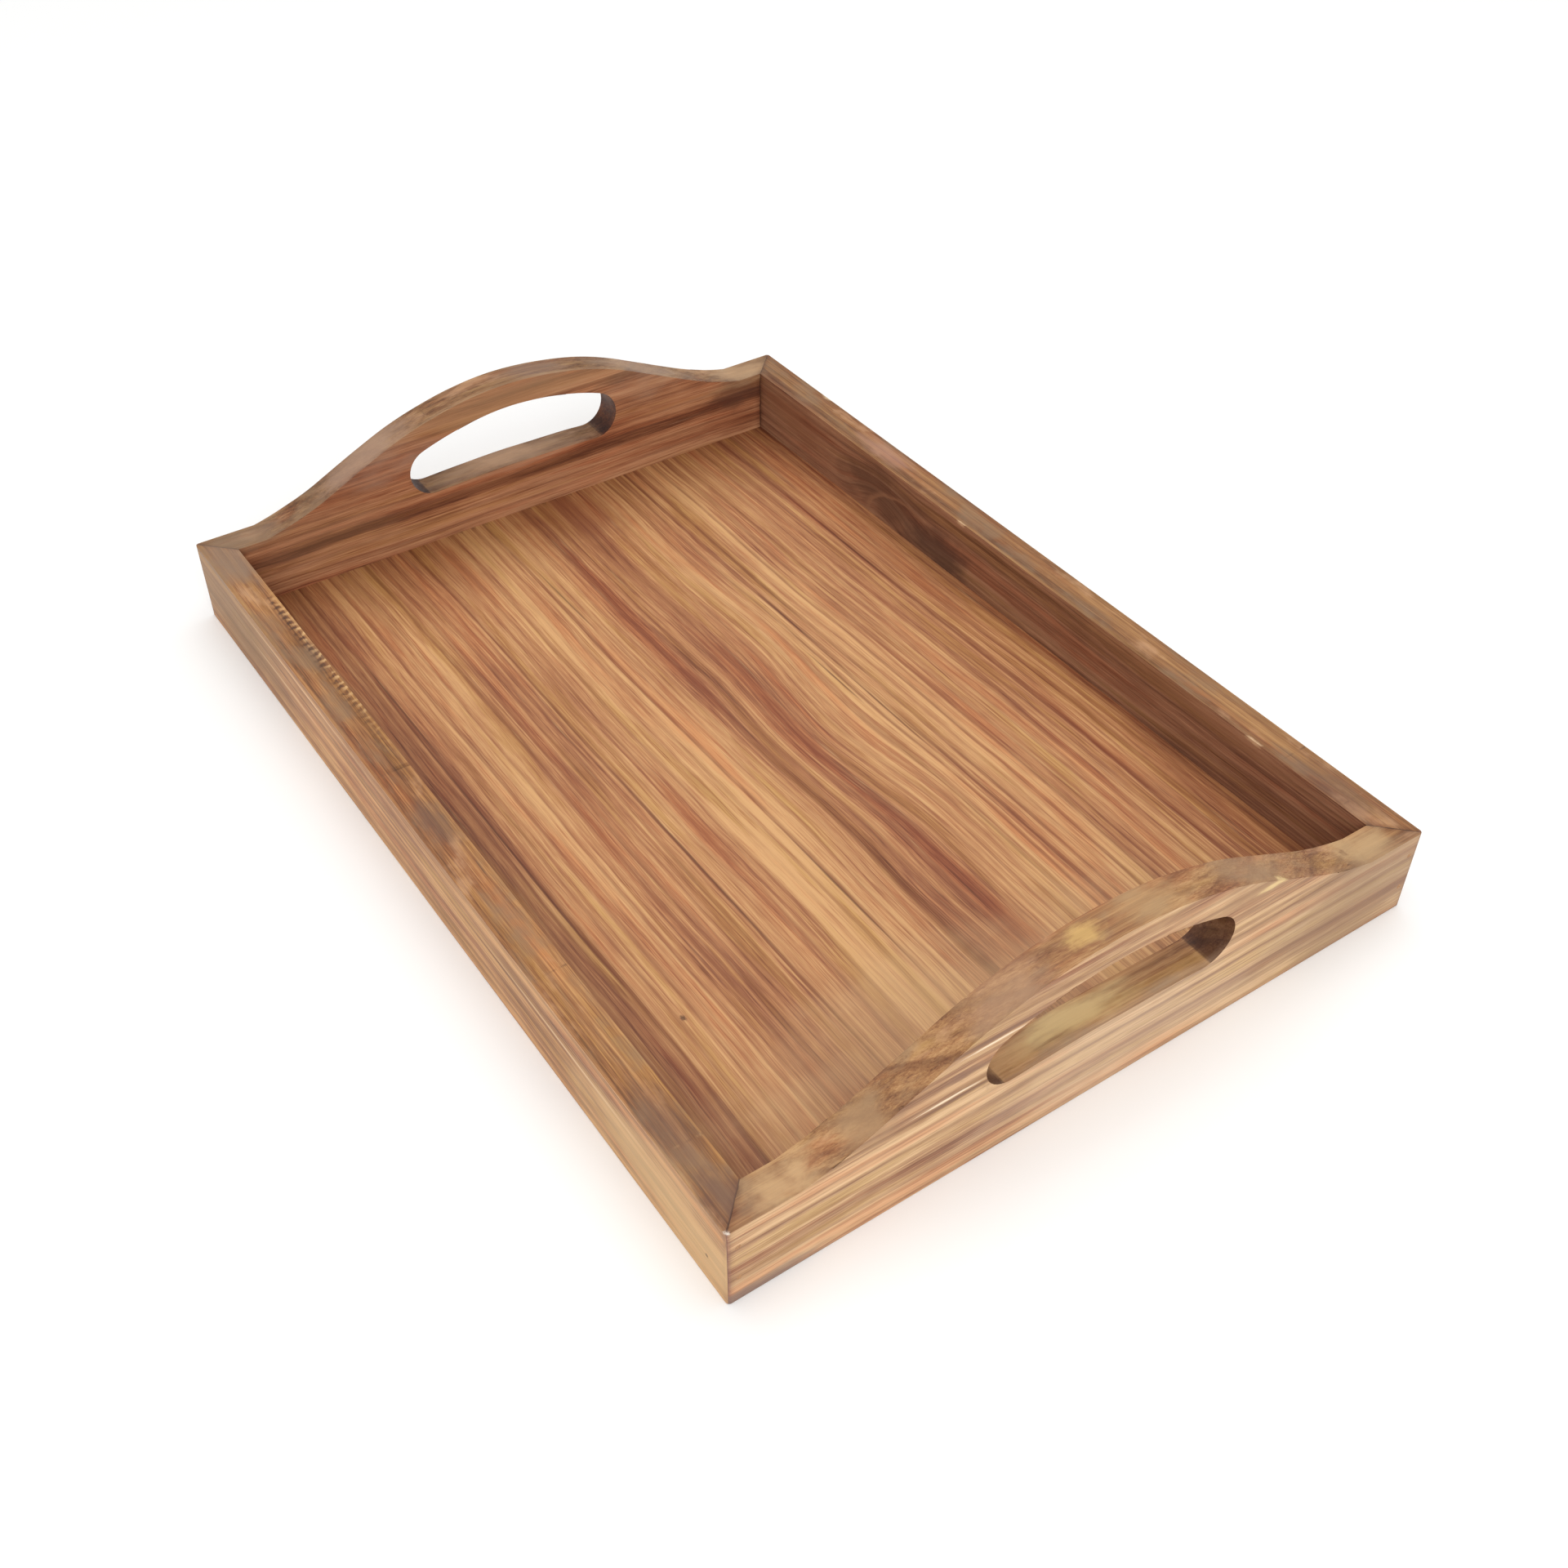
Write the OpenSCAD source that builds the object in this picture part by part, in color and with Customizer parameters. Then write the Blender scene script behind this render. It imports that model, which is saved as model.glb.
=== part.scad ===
// Wooden serving tray: four mitred boards round a three-ply floor held in a groove, nailed at the
// corners. The two end boards rise into arched handles, each pierced by a long grip hole.
// X runs from the far end to the near end, Y from the left rail to the right rail, and Z upwards.
// The origin is on the surface that the tray stands on, under its centre.

/* [Frame] */
// Overall length, from one end board's outer face to the other's
tray_l = 450; // [340:5:640]
// Overall width, from one side rail's outer face to the other's
tray_w = 320; // [300:5:450]
// Height of the side rails, and of the end boards beside their handles
rail_h = 40; // [36:1:50]
// Thickness of every board
board_t = 15; // [12:0.5:18]

/* [Arched handle] */
// Height of the top of the arch
handle_h = 80; // [74:1:84]
// Radius of the arch's crown
crest_r = 165; // [120:5:200]
// Slope of the straight flank between crown and cove, in degrees
flank_deg = 25; // [22:1:28]
// Radius of the hollow that brings the flank down to the rail's height
cove_r = 150; // [100:5:180]
// Slope left where the hollow meets the level top, in degrees
cove_end_deg = 12; // [6:1:16]

/* [Grip hole] */
// Height of the hole's upper edge at the middle
grip_top_z = 68; // [62:1:70]
// Distance between the centres of the hole's round ends
grip_span = 89; // [80:1:95]
// Radius of the arched upper edge
grip_top_r = 136; // [110:1:180]
// Radius of the round ends
grip_end_r = 12.5; // [10:0.5:13]
// Rise of the lower edge from its ends to its middle
grip_crown = 1.3; // [0.8:0.1:2.5]

/* [Floor] */
// Height of the groove's lower edge above the surface the tray stands on
lip_h = 4; // [3:0.5:7]
// Thickness of the floor's face veneer and of its back veneer
veneer_t = 1.2; // [0.6:0.1:1.6]
// Thickness of the floor's core ply
core_t = 1.6; // [1:0.1:2.4]
// Depth of the groove in the boards
groove_d = 6; // [4:0.5:8]
// Gap left round the floor's edge, so that it can swell
swell_gap = 1; // [0.5:0.1:2]

/* [Corner brads] */
// Length of a brad with its head
brad_l = 25; // [20:1:30]
// Radius of the shank
brad_r = 0.7; // [0.5:0.1:0.9]
// Radius of the head, and of the hole above it
head_r = 1.1; // [1:0.1:1.5]
// Thickness of the head
head_t = 1; // [0.6:0.1:1.4]
// Length of the ground point
point_l = 2; // [1:0.5:3]
// Depth to which the head is set and then filled over
filler_t = 1.5; // [0.6:0.1:2]
// Distance of a brad from the side rail's outer face
brad_edge = 4.5; // [4:0.5:6]
// Height of the lower brad
low_brad_z = 13; // [12:1:18]
// Height of the upper brad
high_brad_z = 30; // [25:1:33]

/* [Hidden] */

NEAR = 1;
FAR = -1;
LEFT = -1;
RIGHT = 1;
round_steps = 48;

// Longest straight step along a curved outline
curve_step = 2;

// How far a cutting shape runs past the face that it cuts
past = 1;

// Arch, from its crown outwards: where crown meets flank, flank meets hollow, and hollow meets level
crest_y = crest_r * sin(flank_deg);
crest_z = handle_h - crest_r * (1 - cos(flank_deg));
cove_top_z = rail_h + cove_r * (cos(cove_end_deg) - cos(flank_deg));
flank_y = crest_y + (crest_z - cove_top_z) / tan(flank_deg);
shoulder_y = flank_y + cove_r * (sin(flank_deg) - sin(cove_end_deg));
crest_centre = [0, handle_h - crest_r];
cove_centre = [shoulder_y + cove_r * sin(cove_end_deg), rail_h + cove_r * cos(cove_end_deg)];

// Grip hole: its round ends run smoothly into the arc above and the flatter arc below
end_y = grip_span / 2;
end_z = grip_top_z - grip_top_r + sqrt(pow(grip_top_r - grip_end_r, 2) - pow(end_y, 2));
upper_centre = [0, grip_top_z - grip_top_r];
upper_deg = asin(end_y / (grip_top_r - grip_end_r));
lower_r = (pow(end_y, 2) - 2 * grip_end_r * grip_crown + pow(grip_crown, 2)) / (2 * grip_crown);
lower_centre = [0, end_z - grip_end_r + grip_crown - lower_r];
lower_deg = asin(end_y / (lower_r + grip_end_r));

// Groove and floor
floor_t = 2 * veneer_t + core_t;
groove_l = tray_l - 2 * (board_t - groove_d);
groove_w = tray_w - 2 * (board_t - groove_d);

// Points along an arc. Its angles are clockwise from straight up, in degrees
function arc(centre, r, from, to) =
    let (steps = ceil(abs(to - from) * PI / 180 * r / curve_step))
    [for (i = [0:steps]) let (a = from + (to - from) * i / steps) centre + r * [sin(a), cos(a)]];

// A right half that starts and ends on the centre line, closed by its mirror image
function both_sides(half) =
    concat(half, [for (i = [len(half) - 2:-1:1]) [-half[i][0], half[i][1]]]);

// End board seen from the end of the tray, before its hole is cut
module board_outline() {
    polygon(both_sides(concat(
        arc(crest_centre, crest_r, 0, flank_deg),
        arc(cove_centre, cove_r, 180 + flank_deg, 180 + cove_end_deg),
        [[tray_w / 2, rail_h], [tray_w / 2, 0], [0, 0]]
    )));
}

// Hand hole of an end board
module grip_outline() {
    polygon(both_sides(concat(
        arc(upper_centre, grip_top_r, 0, upper_deg),
        arc([end_y, end_z], grip_end_r, upper_deg, 180 + lower_deg),
        arc(lower_centre, lower_r, lower_deg, 0)
    )));
}

// The slot that the floor's edges sit in, all the way round, as one slab
module groove_space() {
    translate([-groove_l / 2, -groove_w / 2, lip_h]) cube([groove_l, groove_w, floor_t]);
}

// One headed brad, its head's top at the origin and its point up the Z axis
module brad() {
    rotate_extrude($fn = round_steps)
        polygon([
            [0, 0], [head_r, 0], [head_r, head_t], [brad_r, head_t],
            [brad_r, brad_l - point_l], [0, brad_l]
        ]);
}

// Both brads of one corner, driven through the end board into the side rail
module corner_brads(end, side) {
    for (z = [low_brad_z, high_brad_z])
        translate([end * (tray_l / 2 - filler_t), side * (tray_w / 2 - brad_edge), z])
            rotate([0, -90 * end, 0]) brad();
}

// The plugs of filler over the two brads of one corner, flush with the end board's face
module corner_filler(end, side) {
    for (z = [low_brad_z, high_brad_z])
        translate([end * tray_l / 2, side * (tray_w / 2 - brad_edge), z])
            rotate([0, -90 * end, 0]) cylinder(h = filler_t, r = head_r, $fn = round_steps);
}

// One end board with its mitred ends, grip hole, groove and nail holes
module end_board(end) {
    outer = tray_l / 2 + past;
    inner = tray_l / 2 - board_t - past;
    reach = tray_w / 2 + past;
    throat = tray_w / 2 - board_t - past;
    difference() {
        intersection() {
            translate([end * (tray_l - board_t) / 2 - board_t / 2, 0, 0]) rotate([90, 0, 90])
                linear_extrude(board_t) difference() {
                    board_outline();
                    grip_outline();
                }
            translate([0, 0, -past]) linear_extrude(handle_h + 2 * past)
                polygon([
                    [end * outer, -reach], [end * outer, reach],
                    [end * inner, throat], [end * inner, -throat]
                ]);
        }
        groove_space();
        for (side = [LEFT, RIGHT]) {
            corner_brads(end, side);
            corner_filler(end, side);
        }
    }
}

// One side rail with its mitred ends, groove and nail holes
module side_rail(side) {
    outer = side * tray_w / 2;
    inner = side * (tray_w / 2 - board_t);
    difference() {
        linear_extrude(rail_h)
            polygon([
                [-tray_l / 2, outer], [tray_l / 2, outer],
                [tray_l / 2 - board_t, inner], [board_t - tray_l / 2, inner]
            ]);
        groove_space();
        for (end = [NEAR, FAR]) corner_brads(end, side);
    }
}

// One layer of the plywood floor, its lower face at the given height
module floor_layer(z, thickness) {
    size = [groove_l - 2 * swell_gap, groove_w - 2 * swell_gap, thickness];
    translate([-size[0] / 2, -size[1] / 2, z]) cube(size);
}

// Handle board at the near end
module near_end_board() {
    color("#c99c6d") end_board(NEAR);
}

// Handle board at the far end
module far_end_board() {
    color("#b98a5b") end_board(FAR);
}

// Long rail on the left
module left_side_rail() {
    color("#d4ab78") side_rail(LEFT);
}

// Long rail on the right
module right_side_rail() {
    color("#a98058") side_rail(RIGHT);
}

// Figured veneer on top of the floor, its grain along the tray
module floor_face_veneer() {
    color("#cd9a63") floor_layer(lip_h + veneer_t + core_t, veneer_t);
}

// Core of the floor, its grain across the tray
module floor_core_ply() {
    color("#c8a678") floor_layer(lip_h + veneer_t, core_t);
}

// Plain veneer under the floor, its grain along the tray
module floor_back_veneer() {
    color("#c49468") floor_layer(lip_h, veneer_t);
}

module near_left_brads() {
    color("silver") corner_brads(NEAR, LEFT);
}

module near_right_brads() {
    color("silver") corner_brads(NEAR, RIGHT);
}

module far_left_brads() {
    color("silver") corner_brads(FAR, LEFT);
}

module far_right_brads() {
    color("silver") corner_brads(FAR, RIGHT);
}

module near_left_filler() {
    color("#b8895c") corner_filler(NEAR, LEFT);
}

module near_right_filler() {
    color("#b8895c") corner_filler(NEAR, RIGHT);
}

module far_left_filler() {
    color("#b8895c") corner_filler(FAR, LEFT);
}

module far_right_filler() {
    color("#b8895c") corner_filler(FAR, RIGHT);
}

near_end_board();
far_end_board();
left_side_rail();
right_side_rail();
floor_face_veneer();
floor_core_ply();
floor_back_veneer();
near_left_brads();
near_right_brads();
far_left_brads();
far_right_brads();
near_left_filler();
near_right_filler();
far_left_filler();
far_right_filler();
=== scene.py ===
"""Looks of a wooden serving tray: mitred pine boards, arched handles and a figured plywood floor.

The boards and the floor's face are refined copies of the frame's own solids, with eased and worn
arrises, and every surface gets a procedural wood finish. All lengths are in metres, and patterns are
laid out in millimetres along and across the grain.
"""

import logging
import math
from dataclasses import dataclass, field
from enum import Enum
from itertools import product

import bmesh
import bpy
from mathutils import Matrix, Quaternion, Vector, noise


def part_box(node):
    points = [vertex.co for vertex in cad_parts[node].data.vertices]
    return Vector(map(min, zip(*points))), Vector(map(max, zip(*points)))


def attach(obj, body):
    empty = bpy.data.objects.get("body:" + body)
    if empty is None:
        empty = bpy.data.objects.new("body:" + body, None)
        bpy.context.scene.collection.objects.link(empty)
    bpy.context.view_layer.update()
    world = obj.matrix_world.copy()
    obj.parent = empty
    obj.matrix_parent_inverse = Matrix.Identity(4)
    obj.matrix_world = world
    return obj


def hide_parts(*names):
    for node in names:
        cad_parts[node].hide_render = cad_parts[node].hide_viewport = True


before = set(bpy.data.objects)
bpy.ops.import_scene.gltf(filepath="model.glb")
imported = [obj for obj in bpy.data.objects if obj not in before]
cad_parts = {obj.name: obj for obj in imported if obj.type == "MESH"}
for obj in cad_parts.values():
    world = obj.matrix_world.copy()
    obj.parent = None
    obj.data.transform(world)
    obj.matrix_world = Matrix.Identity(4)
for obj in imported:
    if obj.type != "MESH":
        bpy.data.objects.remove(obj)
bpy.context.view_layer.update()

log = logging.getLogger("serving_tray")

MM = 0.001
BODY = "root"
SAME_PLACE = 0.001 * MM
ON_PLANE = 0.0001 * MM


class Slot(Enum):
    """Names of the record's material slots."""

    FRAME = "pine_frame"
    FACE = "floor_veneer"
    FILLER = "wood_filler"


class End(Enum):
    """The two ends of the tray, as signs along X."""

    NEAR = 1
    FAR = -1


class Side(Enum):
    """The two sides of the tray, as signs along Y."""

    LEFT = -1
    RIGHT = 1


class Grain(Enum):
    """Direction of the grain, with the turn about Z that lays it along the pattern's own X."""

    ALONG = 0.0
    ACROSS = -math.pi / 2


@dataclass(frozen=True)
class TrayPlan:
    """Main sizes of the tray, read from the frame."""

    length: float
    width: float
    rail_top: float
    board: float
    lip: float
    floor_top: float

    @classmethod
    def from_frame(cls) -> "TrayPlan":
        """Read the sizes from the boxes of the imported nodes.

        Returns:
            The plan of this tray.
        """
        rail_low, rail_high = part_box("left_side_rail")
        return cls(
            length=rail_high.x - rail_low.x,
            width=2 * abs(rail_low.y),
            rail_top=rail_high.z,
            board=rail_high.y - rail_low.y,
            lip=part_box("floor_back_veneer")[0].z,
            floor_top=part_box("floor_face_veneer")[1].z,
        )

    def mitre_offset(self, point: Vector) -> float:
        """Distance of a point from the mitre plane of its corner.

        Args:
            point: A point in the tray's frame.

        Returns:
            The signed distance, positive towards the side rail's outer face.
        """
        inwards = (self.length - self.width) / 2
        return (abs(point.x) - abs(point.y) - inwards) / math.sqrt(2)


# ---------------------------------------------------------------------------
# Finishes
# ---------------------------------------------------------------------------


def linear(colour: str) -> tuple[float, float, float, float]:
    """Turn an sRGB hex colour into linear light.

    Args:
        colour: A colour such as "#c8965f".

    Returns:
        Red, green, blue and an alpha of 1.
    """
    channels = [int(colour[i:i + 2], 16) / 255 for i in (1, 3, 5)]
    red, green, blue = (
        c / 12.92 if c <= 0.04045 else ((c + 0.055) / 1.055) ** 2.4 for c in channels
    )
    return red, green, blue, 1.0


def add(tree: bpy.types.NodeTree, kind: str, inputs: dict | None = None,
        stops: list | None = None, **settings) -> bpy.types.Node:
    """Add a node, with its settings, values and links.

    Args:
        tree: The node tree that gets the node.
        kind: The node's type, without its "ShaderNode" prefix.
        inputs: Input name or number to a value, a hex colour, a socket, or a node whose first
            output is used.
        stops: For a colour ramp, pairs of a place from 0 to 1 and a hex colour or a grey value.
        **settings: The node's own properties.

    Returns:
        The new node.
    """
    node = tree.nodes.new("ShaderNode" + kind)
    for name, value in settings.items():
        setattr(node, name, value)
    for key, value in (inputs or {}).items():
        if isinstance(value, bpy.types.Node):
            value = value.outputs[0]
        if isinstance(value, bpy.types.NodeSocket):
            tree.links.new(value, node.inputs[key])
        else:
            node.inputs[key].default_value = linear(value) if isinstance(value, str) else value
    if stops:
        elements = node.color_ramp.elements
        while len(elements) < len(stops):
            elements.new(1.0)
        for element, (place, colour) in zip(elements, stops):
            element.position = place
            element.color = linear(colour) if isinstance(colour, str) else (*[colour] * 3, 1.0)
    return node


@dataclass(frozen=True)
class Pattern:
    """A soft random pattern: its cells per millimetre, its finer layers, and where it is taken."""

    along: float
    across: float
    through: float
    detail: float = 2.0
    shift: float = 0.0
    roughness: float = 0.5


@dataclass(frozen=True)
class Rise:
    """How a mask grows: from nothing at one value of its source to its full amount at another."""

    start: float
    full: float
    amount: float


# What the grain is made of, from broad streaks to single fibres
STREAKS = Pattern(0.004, 0.3, 0.3, 4.0, 3.0, 0.62)
HAIRLINES = Pattern(0.005, 0.34, 0.34, 3.0, 7.0, 0.6)
DASHES = Pattern(0.02, 1.05, 1.05, 3.0, 17.0, 0.7)
FIBRES = Pattern(0.1, 2.8, 2.8, 2.0, 31.0, 0.6)

# Slow changes of tone and of warmth
WARMTH = Pattern(0.007, 0.1, 0.1, 4.0, 23.0, 0.6)
CLOUDS = Pattern(0.014, 0.04, 0.04, 3.0, 43.0)

# What bends the growth lines, lets them fade and breaks them up
SWAY = Pattern(0.0045, 0.008, 0.008, 1.0, 59.0)
TREMBLE = Pattern(0.016, 0.04, 0.04, 2.0, 71.0)
FADING = Pattern(0.011, 0.13, 0.13, 3.0, 83.0)
BREAKS = Pattern(0.06, 0.9, 0.9, 2.0, 97.0)

# Dirt, rubbed arrises, glue in the mitres and a plane's marks
DIRT = Pattern(0.03, 0.03, 0.07, 4.0, 101.0, 0.6)
RUBBING = Pattern(0.05, 0.2, 0.2, 3.0, 113.0)
GLUE = Pattern(0.25, 0.25, 0.25, 2.0, 127.0)
SKIPPING = Pattern(0.14, 0.3, 0.3, 2.0, 5.0)

# Plain veneer, drawn steel and filler
VENEER_BEND = Pattern(0.006, 0.02, 0.02, 2.0)
VENEER_STREAKS = Pattern(0.003, 0.16, 0.1, 5.0, 7.0)
VENEER_FIBRES = Pattern(0.04, 2.2, 1.0, 2.0, 13.0)
DRAWING = Pattern(0.2, 9.0, 9.0, 2.0)
GRIT = Pattern(2.5, 2.5, 2.5, 3.0)

# Pale glints in the dashes, and reddish and olive layers
GLINT = Rise(0.58, 0.74, 0.4)
REDDISH = Rise(0.5, 0.68, 0.75)
OLIVE = Rise(0.5, 0.34, 0.7)

# Dirt and rubbed places on upper faces, and dark and pale stretches of the arrises
DIRTY = Rise(0.48, 0.68, 0.6)
RUBBED = Rise(0.46, 0.3, 0.45)
ARRIS_DARK = Rise(0.42, 0.6, 0.6)
ARRIS_PALE = Rise(0.46, 0.34, 0.45)

UP = Vector((0.0, 0.0, 1.0))


@dataclass
class Surface:
    """A material under construction: its tree and the coordinates that the finishes share."""

    name: str
    specular: float = 0.32

    def __post_init__(self) -> None:
        """Make the material and its coordinates."""
        self.material = bpy.data.materials.new(self.name)
        self.material.use_nodes = True
        self.tree = self.material.node_tree
        self.tree.nodes.clear()
        place = add(self.tree, "TexCoord")
        self.place, self.normal = place.outputs["Object"], place.outputs["Normal"]

    def math(self, operation: str, *values: object) -> bpy.types.Node:
        """Combine one to three numbers, sockets or nodes with one arithmetic step."""
        return add(self.tree, "Math", dict(enumerate(values)), operation=operation)

    def product(self, first: object, *others: object) -> bpy.types.Node:
        """Multiply masks together."""
        for other in others:
            first = self.math("MULTIPLY", first, other)
        return first

    def part(self, where: object, axis: str) -> bpy.types.NodeSocket:
        """Take one coordinate out of a place or a direction."""
        return add(self.tree, "SeparateXYZ", {0: where}).outputs[axis]

    def vary(self, base: object, pattern: object, amount: float) -> bpy.types.Node:
        """Let a random pattern raise and lower a value evenly by up to half the amount."""
        return self.math("MULTIPLY_ADD", self.math("SUBTRACT", pattern, 0.5), amount, base)

    def millimetres(self, place: object) -> bpy.types.Node:
        """Turn a place in metres into millimetres."""
        return add(self.tree, "Mapping", {0: place, "Scale": (1 / MM,) * 3})

    def ramp(self, value: object, low: float, high: float, start: float = 0.0,
             end: float = 1.0) -> bpy.types.Node:
        """Carry a value smoothly from one range to another, and hold it past the ends.

        Args:
            value: The number, socket or node that is carried over.
            low: Where the change starts.
            high: Where the change ends.
            start: The result at low.
            end: The result at high.

        Returns:
            The node that gives the result.
        """
        if low > high:
            low, high, start, end = high, low, end, start
        return add(
            self.tree, "MapRange",
            {"Value": value, "From Min": low, "From Max": high, "To Min": start, "To Max": end},
            interpolation_type="SMOOTHSTEP",
        )

    def grow(self, source: object, rise: Rise) -> bpy.types.Node:
        """Let a mask grow out of a pattern or a distance."""
        return self.ramp(source, rise.start, rise.full, 0.0, rise.amount)

    def facing(self, direction: Vector, low: float = 0.5, high: float = 0.85) -> bpy.types.Node:
        """Mask of the surface that faces one way.

        Args:
            direction: The way that the masked surface faces.
            low: Cosine at which the mask starts.
            high: Cosine at which the mask is full.

        Returns:
            The node that gives the mask.
        """
        dot = add(self.tree, "VectorMath", {0: self.normal, 1: tuple(direction)},
                  operation="DOT_PRODUCT")
        return self.ramp(dot.outputs["Value"], low, high)

    def noise(self, where: object, pattern: Pattern, seed: float = 0.0) -> bpy.types.Node:
        """Lay out a soft random pattern.

        Args:
            where: Coordinates in millimetres, with the grain along X.
            pattern: The pattern.
            seed: Moves the pattern, so that each piece differs.

        Returns:
            The noise node.
        """
        stretched = add(self.tree, "Mapping", {
            0: where, "Location": (seed + pattern.shift,) * 3,
            "Scale": (pattern.along, pattern.across, pattern.through),
        })
        return add(self.tree, "TexNoise", {
            "Vector": stretched, "Scale": 1.0, "Detail": pattern.detail,
            "Roughness": pattern.roughness,
        })

    def oval(self, where: object, centre: tuple,
             size: tuple) -> tuple[bpy.types.Node, bpy.types.NodeSocket]:
        """Measure how far from the middle of an oval a place lies.

        Args:
            where: The place.
            centre: The middle of the oval.
            size: Its reach along each axis.

        Returns:
            The place in the oval's own measure, and its distance, which is 1 at the rim.
        """
        scale = [1 / reach for reach in size]
        inside = add(self.tree, "Mapping", {
            0: where, "Scale": scale, "Location": [-c * s for c, s in zip(centre, scale)],
        })
        distance = add(self.tree, "VectorMath", {0: inside}, operation="LENGTH")
        return inside, distance.outputs["Value"]

    def tint(self, base: object, amount: object, colour: object,
             blend: str = "MIX") -> bpy.types.NodeSocket:
        """Lay a colour over another.

        Args:
            base: The colour below.
            amount: How much of the new colour shows.
            colour: The new colour, as hex or as a socket or node.
            blend: The way that the two are combined.

        Returns:
            The socket that gives the new colour.
        """
        mixed = add(self.tree, "Mix", {0: amount, 6: base, 7: colour}, data_type="RGBA",
                    blend_type=blend)
        return mixed.outputs[2]

    def finish(self, colour: object, roughness: object, height: object, depth: float,
               strength: float = 1.0, metallic: float = 0.0) -> bpy.types.Material:
        """Close the material with its shader.

        Args:
            colour: The surface colour.
            roughness: The roughness, as a socket, node or number.
            height: The relief, from 0 to 1.
            depth: The height of the relief in metres.
            strength: How strongly the relief shows.
            metallic: 1 for bare metal.

        Returns:
            The finished material.
        """
        bump = add(self.tree, "Bump", {"Height": height, "Distance": depth, "Strength": strength})
        shader = add(self.tree, "BsdfPrincipled", {
            "Base Color": colour, "Roughness": roughness, "Normal": bump, "Metallic": metallic,
            "Specular IOR Level": self.specular,
        })
        add(self.tree, "OutputMaterial", {"Surface": shader})
        return self.material


@dataclass(frozen=True)
class GrowthLine:
    """One dark line of late wood, in millimetres across the grain.

    It darkens slowly over its soft side and ends sharply on its hard side, as a year's growth does.
    """

    place: float
    strength: float
    soft: float = 2.2
    hard: float = 1.0


def growth(*rows: tuple[float, ...]) -> tuple[GrowthLine, ...]:
    """Make growth lines from rows of place, strength and, where they differ, the two sides."""
    return tuple(GrowthLine(*row) for row in rows)


@dataclass(frozen=True)
class Swell:
    """A place where the layers bulge, in millimetres along and across the grain."""

    along: float
    across: float
    length: float
    width: float
    lift: float


@dataclass(frozen=True)
class Figure:
    """The layers of growth seen in one piece of wood, in millimetres across the grain."""

    span: float
    tones: tuple[tuple[float, float], ...]
    lines: tuple[GrowthLine, ...]
    swells: tuple[Swell, ...] = ()
    lean: float = 0.0
    sway: float = 7.0
    tremble: float = 1.6


@dataclass(frozen=True)
class Palette:
    """Colours of a wood, from its palest layers to its late wood."""

    light: str
    middle: str
    dark: str
    deepest: str
    late: str
    pale: str


@dataclass(frozen=True)
class Patch:
    """A stain, rub, knot, painted highlight or painted shadow at one place, in metres in the tray's
    frame.
    """

    centre: tuple[float, float, float]
    size: tuple[float, float, float]
    colour: str
    amount: float = 0.6
    hollow: float = 0.0


def spots(origin: tuple[float, float, float], *rows: tuple) -> tuple[Patch, ...]:
    """Make patches from rows in millimetres, measured from one point.

    Args:
        origin: The point that the centres are measured from, in metres.
        *rows: The centre, size, colour and amount of each patch, and a ring's hollow.

    Returns:
        The patches.
    """
    return tuple(
        Patch(tuple(from_origin + place * MM for from_origin, place in zip(origin, centre)),
              tuple(reach * MM for reach in size), *rest)
        for centre, size, *rest in rows
    )


@dataclass(frozen=True)
class Chatter:
    """A row of small marks that a skipping plane left along an inner arris, in millimetres.

    The marks reach in by the margin, and the arris itself, within the rim, is chipped pale.
    """

    start: float
    end: float
    pitch: float = 4.5
    margin: float = 5.4
    rim: float = 2.4
    fade: float = 6.0
    slant: float = 0.35
    stray: float = 7.0

    def places(self) -> list[float]:
        """Places of the marks along the board."""
        first, last = (round(place / self.pitch) for place in (self.start, self.end))
        return [(number + 0.25) * self.pitch for number in range(first, last)]

    def masks(self, work: Surface, local: bpy.types.Node,
              thickness: float) -> tuple[bpy.types.Node, bpy.types.Node]:
        """Masks of the dark marks and of the pale chips beside them, fading out along the row.

        Args:
            work: The material under construction.
            local: Millimetres along, up and in.
            thickness: Thickness of the board in millimetres.

        Returns:
            The nodes that give the marks and the chips.
        """
        run, inwards = work.part(local, "X"), work.part(local, "Z")
        uneven = work.noise(local, SKIPPING)
        turn = work.math("MULTIPLY", run, 2 * math.pi / self.pitch)
        turn = work.math("MULTIPLY_ADD", inwards, self.slant, turn)
        turn = work.math("MULTIPLY_ADD", uneven, self.stray, turn)
        wave = work.math("SINE", turn)
        row = work.product(
            work.ramp(run, self.start - self.fade, self.start + self.fade),
            work.ramp(run, (self.start + self.end) / 2, self.end, 1.0, 0.0),
            work.ramp(uneven, 0.36, 0.56, 0.15, 1.0),
        )
        rim = thickness - self.rim
        marks = work.product(
            row, work.ramp(wave, 0.05, 0.75),
            work.ramp(inwards, thickness - self.margin, rim - 0.6),
            work.ramp(inwards, rim, thickness - 0.2, 1.0, 0.25),
        )
        chips = work.product(
            row, work.ramp(wave, -0.1, -0.8), work.ramp(inwards, rim - 1.2, thickness - 0.8))
        return marks, chips


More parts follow.
